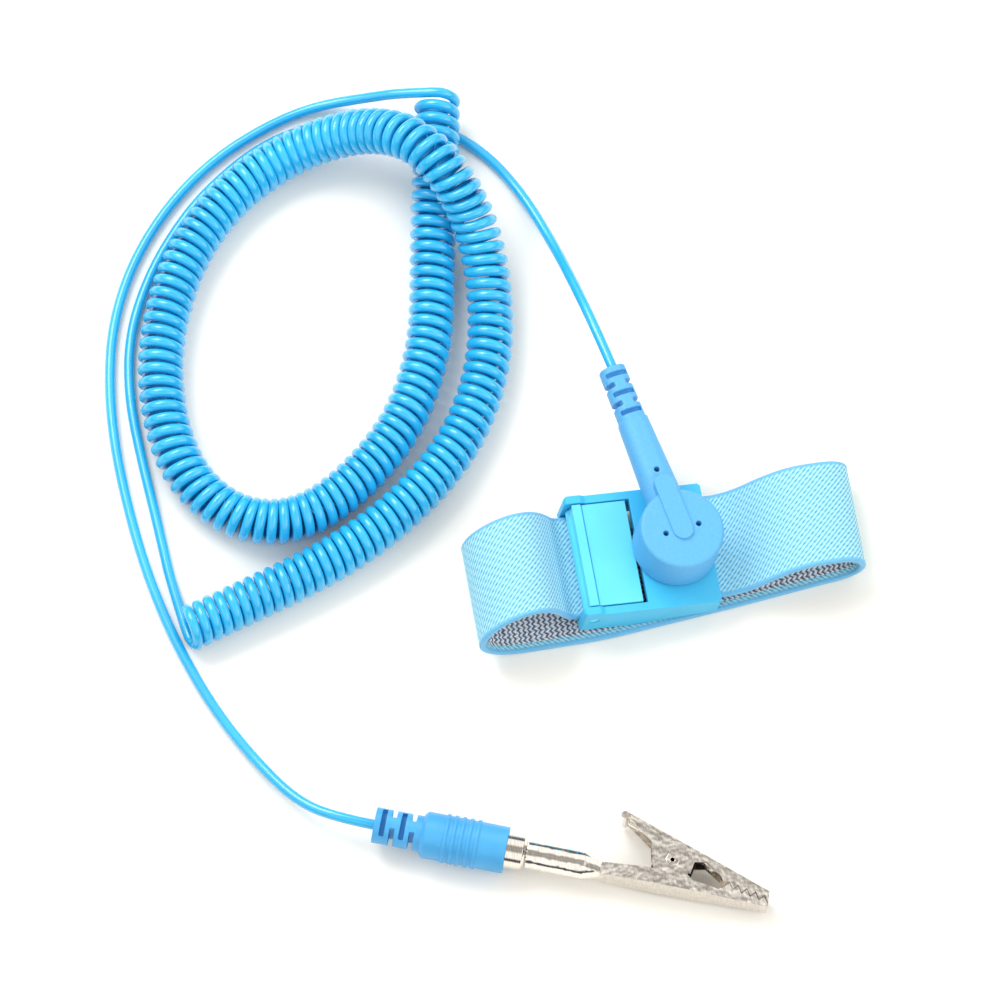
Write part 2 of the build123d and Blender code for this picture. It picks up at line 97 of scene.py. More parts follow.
def setRamp(node, stops):
    ramp = node.color_ramp
    while len(ramp.elements) < len(stops):
        ramp.elements.new(0.5)
    for element, (place, colour) in zip(ramp.elements, stops):
        element.position = place
        element.color = colour


def giveMaterial(piece, *materials):
    piece.data.materials.clear()
    for material in materials:
        piece.data.materials.append(material)


def mouldedPlastic(name, look):
    # moulded plastic or vinyl: one body colour that drifts a little, with the mould's fine texture
    material, tree, surface = newMaterial(name, {
        "Roughness": look["roughness"], "IOR": look["ior"], "Subsurface Weight": look["glow"],
        "Subsurface Radius": (0.6 * mm, 1.0 * mm, 1.4 * mm), "Subsurface Scale": 1.0,
        "Coat Weight": look.get("coat", 0.0), "Coat Roughness": 0.12})
    place = addNode(tree, "ShaderNodeTexCoord")
    drift = addNode(tree, "ShaderNodeTexNoise", {"Scale": 1 / (look["drift"] * mm), "Detail": 2.0},
                    {"Vector": place.outputs["Object"]})
    tint = addNode(tree, "ShaderNodeValToRGB", None, {"Fac": drift.outputs["Fac"]})
    setRamp(tint, [(0.35, linear(look["shade"])), (0.65, linear(look["colour"]))])
    tree.links.new(tint.outputs["Color"], surface.inputs["Base Color"])
    grain = addNode(tree, "ShaderNodeTexNoise", {"Scale": 1 / (look["grain"] * mm), "Detail": 3.0},
                    {"Vector": place.outputs["Object"]})
    bump = addNode(tree, "ShaderNodeBump", {"Strength": look["relief"], "Distance": 0.05 * mm},
                   {"Height": grain.outputs["Fac"]})
    tree.links.new(bump.outputs["Normal"], surface.inputs["Normal"])
    worn = addNode(tree, "ShaderNodeMapRange", {"To Min": look["roughness"] - 0.05,
                                                "To Max": look["roughness"] + 0.07},
                   {"Value": grain.outputs["Fac"]})
    tree.links.new(worn.outputs["Result"], surface.inputs["Roughness"])
    return material


def platedSteel(name, look):
    # plated or bright metal: long press marks in one direction, soft dents that bend reflections
    material, tree, surface = newMaterial(name, {"Metallic": 1.0, "Roughness": look["roughness"]})
    place = addNode(tree, "ShaderNodeTexCoord")
    turned = addNode(tree, "ShaderNodeMapping", {
        "Rotation": (0, 0, math.radians(look["turn"])), "Scale": look["stretch"]},
        {"Vector": place.outputs["Object"]})
    marks = addNode(tree, "ShaderNodeTexNoise", {"Scale": 1 / (look["marks"] * mm), "Detail": 4.0},
                    {"Vector": turned.outputs["Vector"]})
    dents = addNode(tree, "ShaderNodeTexNoise", {"Scale": 1 / (look["dents"] * mm), "Detail": 1.0},
                    {"Vector": place.outputs["Object"]})
    tint = addNode(tree, "ShaderNodeValToRGB", None, {"Fac": marks.outputs["Fac"]})
    setRamp(tint, [(0.3, linear(look["shade"])), (0.7, linear(look["colour"]))])
    tree.links.new(tint.outputs["Color"], surface.inputs["Base Color"])
    fine = addNode(tree, "ShaderNodeBump", {"Strength": look["relief"] * 0.5, "Distance": 0.03 * mm},
                   {"Height": marks.outputs["Fac"]})
    soft = addNode(tree, "ShaderNodeBump", {"Strength": look["relief"], "Distance": 0.4 * mm},
                   {"Height": dents.outputs["Fac"], "Normal": fine.outputs["Normal"]})
    tree.links.new(soft.outputs["Normal"], surface.inputs["Normal"])
    spread = addNode(tree, "ShaderNodeMapRange", {"To Min": look["roughness"] * 0.7,
                                                  "To Max": look["roughness"] * 1.5},
                     {"Value": marks.outputs["Fac"]})
    tree.links.new(spread.outputs["Result"], surface.inputs["Roughness"])
    return material


finishes = {
    # injection-moulded ABS with a fine satin: soft wide highlights, edges a little lighter
    "buckle_plastic": ("satinMouldedAbs", mouldedPlastic, {
        "colour": "#40C0EC", "shade": "#39B9E6", "drift": 9.0, "roughness": 0.42, "ior": 1.53,
        "glow": 0.12, "grain": 0.25, "relief": 0.12}),
    # the lever comes from a polished mould: paler and smoother than the buckle
    "lever_plastic": ("polishedMouldedAbs", mouldedPlastic, {
        "colour": "#66DAFA", "shade": "#5ED4F6", "drift": 12.0, "roughness": 0.3, "ior": 1.53,
        "glow": 0.15, "grain": 0.4, "relief": 0.06}),
    # overmoulded soft vinyl, fine spark texture: matte, greyer blue
    "head_vinyl": ("texturedMouldedVinyl", mouldedPlastic, {
        "colour": "#5FB3E8", "shade": "#58ABE1", "drift": 0.35, "roughness": 0.5, "ior": 1.5,
        "glow": 0.02, "grain": 0.22, "relief": 0.5}),
    # the same vinyl in the boot, from a smoother mould
    "boot_vinyl": ("smoothMouldedVinyl", mouldedPlastic, {
        "colour": "#49A9E3", "shade": "#42A2DC", "drift": 7.0, "roughness": 0.4, "ior": 1.5,
        "glow": 0.02, "grain": 0.3, "relief": 0.1}),
    # extruded vinyl jacket: glossy, with long highlights
    "cord_vinyl": ("extrudedVinyl", mouldedPlastic, {
        "colour": "#2AB9EE", "shade": "#22AFE6", "drift": 12.0, "roughness": 0.24, "ior": 1.53,
        "glow": 0.05, "grain": 1.5, "relief": 0.02, "coat": 0.6}),
    # moulded natural polypropylene
    "core_plastic": ("mouldedPolypropylene", mouldedPlastic, {
        "colour": "#E6E4DC", "shade": "#DEDCD3", "drift": 4.0, "roughness": 0.45, "ior": 1.49,
        "glow": 0.2, "grain": 0.3, "relief": 0.1}),
    # nickel plate on pressed steel: bright, slightly warm, with the press's cross marks
    "clip_steel": ("nickelPlatedPressedSteel", platedSteel, {
        "colour": "#F5F0EA", "shade": "#DDD6CD", "turn": -21.0, "stretch": (3.0, 0.6, 0.6),
        "marks": 0.9, "dents": 1.5, "roughness": 0.11, "relief": 0.25}),
    # nickel plate on turned brass: fine rings round the axis
    "nickel_brass": ("nickelPlatedTurnedBrass", platedSteel, {
        "colour": "#EFEAE2", "shade": "#D5CEC4", "turn": -21.0, "stretch": (9.0, 0.3, 0.3),
        "marks": 0.9, "dents": 5.0, "roughness": 0.12, "relief": 0.12}),
    # nickel-plated pressings of the snap
    "nickel_steel": ("nickelPlatedSnapSteel", platedSteel, {
        "colour": "#E4DDD2", "shade": "#CFC7BA", "turn": 0.0, "stretch": (1.0, 1.0, 1.0),
        "marks": 0.5, "dents": 3.0, "roughness": 0.16, "relief": 0.1}),
    # brushed stainless sheet against the skin, its grain along the band
    "stainless": ("brushedStainless", platedSteel, {
        "colour": "#D6D4D0", "shade": "#BDBAB5", "turn": 0.0, "stretch": (0.15, 5.0, 1.0),
        "marks": 0.8, "dents": 6.0, "roughness": 0.28, "relief": 0.25}),
    # drawn and hardened spring steel, bright with a grey cast
    "spring_steel": ("drawnSpringSteel", platedSteel, {
        "colour": "#C9C8C8", "shade": "#A9A8A8", "turn": -21.0, "stretch": (0.3, 4.0, 4.0),
        "marks": 0.7, "dents": 4.0, "roughness": 0.22, "relief": 0.1}),
    # tinned copper leads and strands
    "tinned_copper": ("tinnedCopper", platedSteel, {
        "colour": "#D9D5CE", "shade": "#C2B9AC", "turn": 0.0, "stretch": (1.0, 1.0, 1.0),
        "marks": 0.4, "dents": 2.0, "roughness": 0.25, "relief": 0.2}),
    # baked lacquer on a film resistor
    "resistor_lacquer": ("bakedLacquer", mouldedPlastic, {
        "colour": "#9CC7B4", "shade": "#93BEAB", "drift": 2.0, "roughness": 0.3, "ior": 1.5,
        "glow": 0.0, "grain": 0.3, "relief": 0.1}),
}

knit = {
    "cellLength": 1.0,       # mm along the band from rib to rib
    "cellWidth": 0.85,       # mm from one row of stitches to the next
    "slant": 0.9,            # each row starts this share of a cell further along
    "dash": 2.0,             # mm between the dark darts of one row
    "pale": "#AFE3EF", "yarn": "#7CC9E6", "dart": "#3492C6", "selvage": "#6FBBE6",
    "lightGrey": "#E9EDF2", "brownGrey": "#9C8D86", "darkGrey": "#465062", "blueGrey": "#8FB2D6",
    "zigzag": 1.05,          # mm along the band from one dark stitch of the inside to the next
    "fold": 0.51,            # mm across the band from one fold of the zigzag to the next
    "ribHeight": 0.75, "rowHeight": 0.15, "dartHeight": 0.2, "fuzzHeight": 0.7,
    "thread": (0.3, 0.36),   # mm along and across from one thread to the next
    "plainEdge": 9.45,       # mm from the band's middle to where its blue selvage starts
    "blend": 0.4,            # mm over which the selvage's colour comes in
}
straight = 1e6               # mm, a wave so long that it doesn't change along the band


def planeWave(tree, axes, alongPeriod, acrossPeriod):
    # cosine of 2 pi (along / alongPeriod + across / acrossPeriod)
    a = addNode(tree, "ShaderNodeMath", {"operation": "MULTIPLY", 1: 2 * math.pi / alongPeriod},
                {0: axes.outputs["X"]})
    b = addNode(tree, "ShaderNodeMath", {"operation": "MULTIPLY_ADD", 1: 2 * math.pi / acrossPeriod},
                {0: axes.outputs["Y"], 2: a.outputs[0]})
    return addNode(tree, "ShaderNodeMath", {"operation": "COSINE"}, {0: b.outputs[0]})


def weaveAxes(tree):
    # the piece's UV map, in millimetres along and across the band
    uv = addNode(tree, "ShaderNodeUVMap", {"uv_map": "weave"})
    return uv, addNode(tree, "ShaderNodeSeparateXYZ", None, {"Vector": uv.outputs["UV"]})


def knittedElastic():
    # knitted nylon over elastic: pale diagonal ribs of yarn, and dark darts where the elastic shows.
    # height = ribs + stitch rows + dart rows, each a plane wave with its own weight, plus fuzz
    material, tree, surface = newMaterial("knittedNylonElastic", {
        "Roughness": 0.85, "IOR": 1.5, "Sheen Weight": 0.3, "Sheen Roughness": 0.4})
    uv, axes = weaveAxes(tree)
    rib = planeWave(tree, axes, knit["cellLength"], -knit["cellWidth"] / knit["slant"])
    stitch = planeWave(tree, axes, straight, knit["cellWidth"])
    dart = planeWave(tree, axes, knit["dash"], knit["cellWidth"] * 2)
    height = addNode(tree, "ShaderNodeMath", {"operation": "MULTIPLY", 1: knit["ribHeight"]},
                     {0: rib.outputs[0]})
    for wave, weight in ((stitch, knit["rowHeight"]), (dart, knit["dartHeight"])):
        height = addNode(tree, "ShaderNodeMath", {"operation": "MULTIPLY_ADD", 1: weight},
                         {0: wave.outputs[0], 2: height.outputs[0]})
    fuzz = addNode(tree, "ShaderNodeTexNoise", {"Scale": 2.2, "Detail": 3.0},
                   {"Vector": uv.outputs["UV"]})
    uneven = addNode(tree, "ShaderNodeMath", {"operation": "MULTIPLY_ADD", 1: knit["fuzzHeight"]},
                     {0: fuzz.outputs["Fac"], 2: height.outputs[0]})
    level = addNode(tree, "ShaderNodeMapRange", {"From Min": -0.9, "From Max": 1.6},
                    {"Value": uneven.outputs[0]})
    colours = addNode(tree, "ShaderNodeValToRGB", None, {"Fac": level.outputs["Result"]})
    setRamp(colours, [(0.08, linear(knit["dart"])), (0.36, linear(knit["yarn"])),
                      (0.66, linear(knit["pale"]))])
    out = addNode(tree, "ShaderNodeMath", {"operation": "ABSOLUTE"}, {0: axes.outputs["Y"]})
    edge = addNode(tree, "ShaderNodeMapRange", {"From Min": knit["plainEdge"],
                                                "From Max": knit["plainEdge"] + knit["blend"]},
                   {"Value": out.outputs[0]})
    # a mix of colours takes them in its sockets 6 and 7 and gives the result in 2
    both = addNode(tree, "ShaderNodeMix", {"data_type": "RGBA", 7: linear(knit["selvage"])},
                   {"Factor": edge.outputs["Result"], 6: colours.outputs["Color"]})
    tree.links.new(both.outputs[2], surface.inputs["Base Color"])
    thread = planeWave(tree, axes, *knit["thread"])
    fine = addNode(tree, "ShaderNodeBump", {"Strength": 0.25, "Distance": 0.05 * mm},
                   {"Height": thread.outputs[0]})
    ribs = addNode(tree, "ShaderNodeBump", {"Strength": 0.6, "Distance": 0.14 * mm},
                   {"Height": level.outputs["Result"], "Normal": fine.outputs["Normal"]})
    tree.links.new(ribs.outputs["Normal"], surface.inputs["Normal"])
    return material


def conductiveKnit():
    # knitted conductive yarn: zigzag rows of white, brown-grey and dark stitches on blue-grey.
    # place in the row = along + pingpong(across, fold) + noise; the fraction of that over the
    # zigzag's length picks the yarn
    material, tree, surface = newMaterial("knittedConductiveYarn", {"Roughness": 0.7, "IOR": 1.5,
                                                                    "Sheen Weight": 0.2})
    uv, axes = weaveAxes(tree)
    fold = addNode(tree, "ShaderNodeMath", {"operation": "PINGPONG", 1: knit["fold"]},
                   {0: axes.outputs["Y"]})
    along = addNode(tree, "ShaderNodeMath", {"operation": "ADD"},
                    {0: axes.outputs["X"], 1: fold.outputs[0]})
    fuzz = addNode(tree, "ShaderNodeTexNoise", {"Scale": 0.9, "Detail": 3.0},
                   {"Vector": uv.outputs["UV"]})
    loose = addNode(tree, "ShaderNodeMath", {"operation": "MULTIPLY_ADD", 1: 1.0},
                    {0: fuzz.outputs["Fac"], 2: along.outputs[0]})
    places = addNode(tree, "ShaderNodeMath", {"operation": "MULTIPLY", 1: 1 / knit["zigzag"]},
                     {0: loose.outputs[0]})
    part = addNode(tree, "ShaderNodeMath", {"operation": "FRACT"}, {0: places.outputs[0]})
    colours = addNode(tree, "ShaderNodeValToRGB", None, {"Fac": part.outputs[0]})
    setRamp(colours, [(0.05, linear(knit["blueGrey"])), (0.17, linear(knit["darkGrey"])),
                      (0.33, linear(knit["darkGrey"])), (0.42, linear(knit["brownGrey"])),
                      (0.55, linear(knit["lightGrey"])), (0.85, linear(knit["lightGrey"])),
                      (0.97, linear(knit["blueGrey"]))])
    tree.links.new(colours.outputs["Color"], surface.inputs["Base Color"])
    row = planeWave(tree, axes, straight, knit["cellWidth"])
    bump = addNode(tree, "ShaderNodeBump", {"Strength": 0.5, "Distance": 0.12 * mm},
                   {"Height": row.outputs[0]})
    tree.links.new(bump.outputs["Normal"], surface.inputs["Normal"])
    return material


def gridFaces(rows, columns):
    # quads of a grid of rows by columns, its last column joined to its first
    i = np.arange(rows - 1)[:, None]
    j = np.arange(columns)[None, :]
    k = (j + 1) % columns
    return np.stack([i * columns + j, i * columns + k, (i + 1) * columns + k, (i + 1) * columns + j],
                    -1).reshape(-1, 4)


def evaluated(piece):
    depsgraph = bpy.context.evaluated_depsgraph_get()
    return bpy.data.meshes.new_from_object(piece.evaluated_get(depsgraph), depsgraph=depsgraph)


def routeCurve(name, points, resolution=12):
    curve = bpy.data.curves.new(name, "CURVE")
    curve.dimensions = "3D"
    curve.resolution_u = resolution
    curve.twist_mode = "MINIMUM"
    spline = curve.splines.new("NURBS")
    spline.points.add(len(points) - 1)
    flat = np.ones((len(points), 4))
    flat[:, :3] = points
    spline.points.foreach_set("co", flat.ravel())
    spline.order_u = 3
    spline.use_endpoint_u = True
    return curve


def smoothLine(points):
    # the points of the NURBS line that the control points steer, from a curve with no bevel
    curve = routeCurve("line", points)
    piece = bpy.data.objects.new("line", curve)
    bpy.context.scene.collection.objects.link(piece)
    bpy.context.view_layer.update()
    mesh = evaluated(piece)
    line = np.zeros(len(mesh.vertices) * 3)
    mesh.vertices.foreach_get("co", line)
    bpy.data.objects.remove(piece)
    bpy.data.meshes.remove(mesh)
    bpy.data.curves.remove(curve)
    return line.reshape(-1, 3)


def evenly(line, step):
    # points on a line at equal distances along it, and how far along each one is
    along = np.concatenate([[0], np.cumsum(np.linalg.norm(np.diff(line, axis=0), axis=1))])
    places = np.linspace(0, along[-1], max(2, int(round(along[-1] / step)) + 1))
    return np.stack([np.interp(places, along, line[:, i]) for i in range(3)], 1), places


def headings(line):
    slope = np.gradient(line, axis=0)
    return slope / np.linalg.norm(slope, axis=1)[:, None]


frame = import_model()
nodes = frame["nodes"]
bodyOf = {name: node["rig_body"] for name, node in nodes.items()}
slotOf = {part["node"]: part["material_slot"] for part in frame["record"]["subparts"]}
print("frame loaded:", len(nodes), "nodes")

made = {slot: maker(name, look) for slot, (name, maker, look) in finishes.items()}
for name, node in nodes.items():
    if slotOf[name] in made:
        giveMaterial(node, made[slotOf[name]])
print("materials made:", len(made))


cord = {
    "wire": 2.0,             # mm, outside the jacket
    "coilOutside": 9.0,      # mm, over the turns
    "turnsClosed": 2.12,     # mm from turn to turn where the coil lies across
    "turnsOpen": 2.6,        # mm from turn to turn where it runs up and down
    "pointsPerTurn": 16,
    "leadStep": 2.0,         # mm between the points of a lead
    "lineStep": 0.1,         # mm between the points of the coil's own line
    "sides": 14,             # of the wire's round section
    "length": 3730.0,        # mm, what the two leads and the turns add up to
}

headLeadRoute = np.array([
    (-7.5, 44.5, 13.4), (-9.8, 56.5, 9.0), (-12.0, 67.8, 3.0), (-15.8, 79.5, 1.0), (-21.8, 89.6, 1.0),
    (-31.2, 97.0, 1.0), (-42.5, 100.2, 1.0), (-53.5, 100.0, 1.0), (-64.0, 97.6, 1.0),
    (-75.0, 90.8, 1.0), (-82.6, 83.8, 1.0), (-90.0, 74.3, 1.0), (-95.5, 63.0, 1.0),
    (-97.6, 50.5, 1.0), (-97.3, 37.5, 1.0), (-96.5, 25.0, 1.0), (-96.0, 13.5, 1.0),
    (-95.0, 2.0, 1.0)]) * mm
coilRoute = np.array([
    (-94.6, 0.6, 4.5), (-82.0, 4.3, 4.5), (-69.5, 8.0, 4.5), (-57.0, 13.2, 4.5), (-45.0, 21.0, 4.5),
    (-35.0, 31.0, 4.5), (-28.0, 44.5, 4.5), (-25.3, 59.5, 5.0), (-26.0, 71.0, 9.5), (-29.8, 80.0, 17.0),
    (-36.0, 88.8, 17.0), (-45.5, 94.6, 9.5), (-58.0, 94.3, 4.5), (-71.0, 88.0, 4.5),
    (-81.5, 77.5, 4.5), (-89.0, 63.0, 4.5), (-92.1, 47.0, 4.5), (-90.0, 31.0, 4.5),
    (-81.5, 20.8, 4.5), (-70.0, 18.4, 4.5), (-58.0, 24.2, 4.5), (-46.2, 35.0, 4.5),
    (-38.7, 49.8, 4.5), (-35.7, 65.0, 4.5), (-33.4, 77.5, 5.5), (-30.8, 88.4, 6.8),
    (-28.8, 99.2, 6.8)]) * mm
plugLeadRoute = np.array([
    (-28.8, 99.2, 10.2), (-36.6, 101.2, 7.8), (-44.8, 103.3, 3.2), (-53.5, 103.8, 1.0),
    (-63.0, 101.2, 1.0), (-73.7, 96.2, 1.0), (-83.4, 88.7, 1.0), (-91.9, 78.7, 1.0), (-97.9, 67.0, 1.0),
    (-100.9, 54.6, 1.0), (-102.0, 41.5, 1.0), (-101.5, 27.0, 1.0), (-100.0, 13.0, 1.0),
    (-97.0, -1.0, 1.0), (-92.0, -15.5, 1.0), (-85.6, -27.8, 1.3), (-79.5, -37.3, 3.2),
    (-72.7, -42.5, 5.66), (-66.2, -45.0, 5.45)]) * mm


def coilTurns():
    # a helix round the coil's own line:
    # point = line + radius * (sin(turn) * right - cos(turn) * up). The turn grows by the step over
    # the local pitch, and is scaled so that it starts at the bottom and ends at the top.
    step = cord["lineStep"] * mm
    line, _ = evenly(smoothLine(coilRoute), step)
    ahead = headings(line)
    right = np.cross(ahead, [0, 0, 1.0])
    right /= np.linalg.norm(right, axis=1)[:, None]
    up = np.cross(right, ahead)
    openness = ahead[:, 1] ** 2
    pitch = (cord["turnsClosed"] + (cord["turnsOpen"] - cord["turnsClosed"]) * openness) * mm
    turns = np.concatenate([[0], np.cumsum(step / pitch[1:])])
    count = round(turns[-1]) + 0.5
    turns *= count / turns[-1]
    wanted = np.linspace(0, count, int(count * cord["pointsPerTurn"]) + 1)
    # the spline touches the middles of the lines between its points, so the points lie further out
    reach = (cord["coilOutside"] - cord["wire"]) / 2 * mm / math.cos(math.pi / cord["pointsPerTurn"])
    at = [np.stack([np.interp(wanted, turns, way[:, i]) for i in range(3)], 1)
          for way in (line, up, right)]
    angle = 2 * math.pi * wanted[:, None]
    print("coil turns:", count)
    return at[0] + reach * (np.sin(angle) * at[2] - np.cos(angle) * at[1])


def tailTip():
    # the end of the head's tail, where its conductor comes out: the middle of that node's far face,
    # or of its last millimetre where the face is askew
    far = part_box("head_conductor")[1].y
    points = np.zeros(len(nodes["head_conductor"].data.vertices) * 3)
    nodes["head_conductor"].data.vertices.foreach_get("co", points)
    points = points.reshape(-1, 3)
    end = points[points[:, 1] > far - 0.05 * mm]
    return points[points[:, 1] > far - 0.95 * mm].mean(0) if len(end) < 3 else end.mean(0)


def makeCord():
    tip = np.array(tailTip())
    helix = coilTurns()
    # each lead keeps its route's own smooth line; only where it joins the coil does the cord's
    # spline shape it
    step = cord["leadStep"] * mm
    headLead, _ = evenly(smoothLine(np.concatenate([[tip], headLeadRoute[:-1]])), step)
    plugLead, _ = evenly(smoothLine(plugLeadRoute[1:]), step)
    points = np.concatenate([headLead, helix, plugLead])
    curve = routeCurve("cord", points, 2)
    # the points carry the wire's radius in metres, so the curve's box isn't padded by a metre
    curve.bevel_depth = 1.0
    curve.splines[0].points.foreach_set("radius", np.full(len(points), cord["wire"] / 2 * mm))
    curve.bevel_resolution = cord["sides"] // 2 - 2
    curve.use_fill_caps = True
    piece = bpy.data.objects.new("cord", curve)
    bpy.context.scene.collection.objects.link(piece)
    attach(piece, bodyOf["cord_coil"])
    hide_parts("cord_head_lead", "cord_coil", "cord_plug_lead")
    giveMaterial(piece, made["cord_vinyl"])
    print("cord made:", len(points), "points")
    return piece, tip


cordPiece, cordExit = makeCord()


band = {
    "width": 20.8, "thickness": 1.3,   # mm
    "alongStep": 0.27,                 # mm between rows of the surface
    "faceColumns": 66, "edgeColumns": 5, "insideColumns": 46,
    "relief": 0.055,                   # mm, how far the ribs of the knit stand out
    "ribShare": 0.7, "rowShare": 0.3,  # of that relief
    "selvage": 0.9,                    # mm of plain edge at each side
    "rimColumns": 3,                   # columns of the inside that keep the selvage's yarn
    "softenRows": 30,                  # rows to each side over which the skew is evened out
    # the slack loop lies a little skew: mm sideways at these shares of its length
    "skew": ((0, 0), (0.2, 0), (0.27, 0.9), (0.32, 0.7), (0.45, -1.5), (0.6, -3.6), (0.78, -3.4),
             (0.9, -0.2), (0.93, 0), (1, 0)),
}

bandRoute = np.array([
    (-6.9, 6.06), (0.0, 4.97), (6.7, 3.91), (9.46, 3.47), (13.6, 4.9), (19.0, 9.6), (23.9, 12.05),
    (29.6, 11.2), (33.5, 9.3), (35.3, 5.9), (34.3, 2.2), (30.8, 0.65), (26.0, 0.65), (0.0, 0.65),
    (-28.0, 0.65), (-33.2, 0.65), (-37.7, 2.2), (-40.1, 6.2), (-38.9, 11.4), (-35.4, 14.9),
    (-30.6, 16.1), (-26.6, 14.3), (-24.0, 9.4), (-22.42, 5.38), (-19.5, 4.92), (-9.9, 3.4)]) * mm


def bandSection():
    # the closed section, as mm across the band and mm off its middle: outer face, half-round edge,
    # inner face, other edge
    thick = band["thickness"] / 2
    bulge = thick * 0.5
    flat = band["width"] / 2 - bulge
    turn = np.linspace(0, math.pi, band["edgeColumns"] + 2)[1:-1]
    across = np.concatenate([np.linspace(-flat, flat, band["faceColumns"]),
                             flat + np.sin(turn) * bulge,
                             np.linspace(flat, -flat, band["insideColumns"]),
                             -flat - np.sin(turn) * bulge])
    lift = np.concatenate([np.full(band["faceColumns"], thick), np.cos(turn) * thick,
                           np.full(band["insideColumns"], -thick), -np.cos(turn) * thick])
    return across, lift


def knitRelief(along, across, lift):
    # mm that the knit stands off both faces:
    # relief * plain * (ribShare * cos(ribs) + rowShare * cos(rows) - 1), where plain falls to 0 at
    # the selvages
    ribs = np.cos(2 * math.pi * (along[:, None] / mm / knit["cellLength"]
                                 - across[None, :] * knit["slant"] / knit["cellWidth"]))
    rows = np.cos(2 * math.pi * across / knit["cellWidth"])[None, :]
    plain = np.clip((band["width"] / 2 - np.abs(across)) / band["selvage"] - 0.4, 0, 1)[None, :]
    onFace = (np.abs(lift) > band["thickness"] / 2 * 0.99)[None, :]
    waves = ribs * band["ribShare"] + rows * band["rowShare"] - 1
    return np.where(onFace, band["relief"] * plain * waves * np.sign(lift), 0)


def skewed(middle, along):
    # the slack loop pushed sideways, and that push evened out from row to row
    shares, shifts = np.array(band["skew"]).T
    shift = np.interp(along / along[-1], shares, shifts)
    rows = band["softenRows"]
    weights = np.hanning(2 * rows + 1)
    weights /= weights.sum()
    middle[:, 1] += np.convolve(np.pad(shift, rows, "edge"), weights, "valid") * mm
    return middle


def bandMesh(points, along, across):
    # the grid of points with both ends closed, and a UV map in mm along and across the band
    count = len(across)
    last = (len(points) - 1) * count
    ends = [list(range(count)), list(range(last, last + count))[::-1]]
    mesh = bpy.data.meshes.new("elastic_band_knit")
    mesh.from_pydata(points.reshape(-1, 3).tolist(), [],
                     gridFaces(len(points), count).tolist() + ends)
    weave = mesh.uv_layers.new(name="weave")
    corners = np.zeros(len(mesh.loops), int)
    mesh.loops.foreach_get("vertex_index", corners)
    flat = np.stack([np.repeat(along / mm, count), np.tile(across, len(points))], 1)
    weave.data.foreach_set("uv", flat[corners].ravel())
    mesh.polygons.foreach_set("use_smooth", np.ones(len(mesh.polygons), bool))
    mesh.update()
    fixer = bmesh.new()
    fixer.from_mesh(mesh)
    bmesh.ops.recalc_face_normals(fixer, faces=fixer.faces)
    fixer.to_mesh(mesh)
    fixer.free()
    return mesh


def makeBand():
    # the section carried along the band's middle line:
    # point = middle + out * (lift + relief) + sideways * across
    line = np.stack([bandRoute[:, 0], np.zeros(len(bandRoute)), bandRoute[:, 1]], 1)
    middle, along = evenly(smoothLine(line), band["alongStep"] * mm)
    ahead = headings(middle)
    # the path runs round the loop with the outside on its left
    out = np.stack([-ahead[:, 2], np.zeros(len(ahead)), ahead[:, 0]], 1)
    sideways = np.array([0, 1.0, 0])
    across, lift = bandSection()
    height = (lift[None, :] + knitRelief(along, across, lift)) * mm
    middle = skewed(middle, along)
    points = (middle[:, None, :] + out[:, None, :] * height[..., None]
              + sideways * (across * mm)[None, :, None])
    mesh = bandMesh(points, along, across)
    # the conductive yarn goes on the inner face, but for the columns next to its edges
    first = band["faceColumns"] + band["edgeColumns"]
    column = np.arange((len(points) - 1) * len(across)) % len(across)
    inner = ((column >= first + band["rimColumns"])
             & (column < first + band["insideColumns"] - 1 - band["rimColumns"]))
    sideOf = np.zeros(len(mesh.polygons), int)
    sideOf[:len(inner)] = inner
    piece = bpy.data.objects.new("elastic_band_knit", mesh)
    bpy.context.scene.collection.objects.link(piece)
    giveMaterial(piece, knittedElastic(), conductiveKnit())
    mesh.polygons.foreach_set("material_index", sideOf)
    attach(piece, bodyOf["elastic_band"])
    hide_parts("elastic_band")
    print("band made:", len(inner), "faces,", round(along[-1] / mm, 1), "mm of band")
    return piece, float(along[-1])


bandPiece, bandLength = makeBand()


edging = {
    "merge": 1e-7,           # m, points closer than this become one
    "flat": 0.6,             # degrees, faces that turn less than this are joined
    "sharp": 28.0,           # degrees, edges that turn more than this are rounded
    "segments": 3,
}


def copyOf(node):
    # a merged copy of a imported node's mesh, its flat triangles joined into whole faces
    mesh = nodes[node].data.copy()
    work = bmesh.new()
    work.from_mesh(mesh)
    bmesh.ops.remove_doubles(work, verts=work.verts, dist=edging["merge"])
    bmesh.ops.dissolve_limit(work, angle_limit=math.radians(edging["flat"]), verts=work.verts,
                             edges=work.edges)
    work.to_mesh(mesh)
    work.free()
    piece = bpy.data.objects.new(node + "_finished", mesh)
    bpy.context.scene.collection.objects.link(piece)
    return piece


def finishPiece(piece, node):
    mesh = piece.data
    mesh.polygons.foreach_set("use_smooth", np.ones(len(mesh.polygons), bool))
    giveMaterial(piece, made[slotOf[node]])
    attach(piece, bodyOf[node])
    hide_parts(node)
    return piece


def eased(node, radius):
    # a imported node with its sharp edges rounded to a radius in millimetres
    piece = copyOf(node)
    bevel = piece.modifiers.new("edges", "BEVEL")
    bevel.width = radius * mm
    bevel.segments = edging["segments"]
    bevel.limit_method = "ANGLE"
    bevel.angle_limit = math.radians(edging["sharp"])
    bevel.use_clamp_overlap = True
    mesh = evaluated(piece)
    piece.modifiers.clear()
    piece.data = mesh
    finishPiece(piece, node)
    shade = piece.modifiers.new("shading", "WEIGHTED_NORMAL")
    shade.keep_sharp = False
    return piece


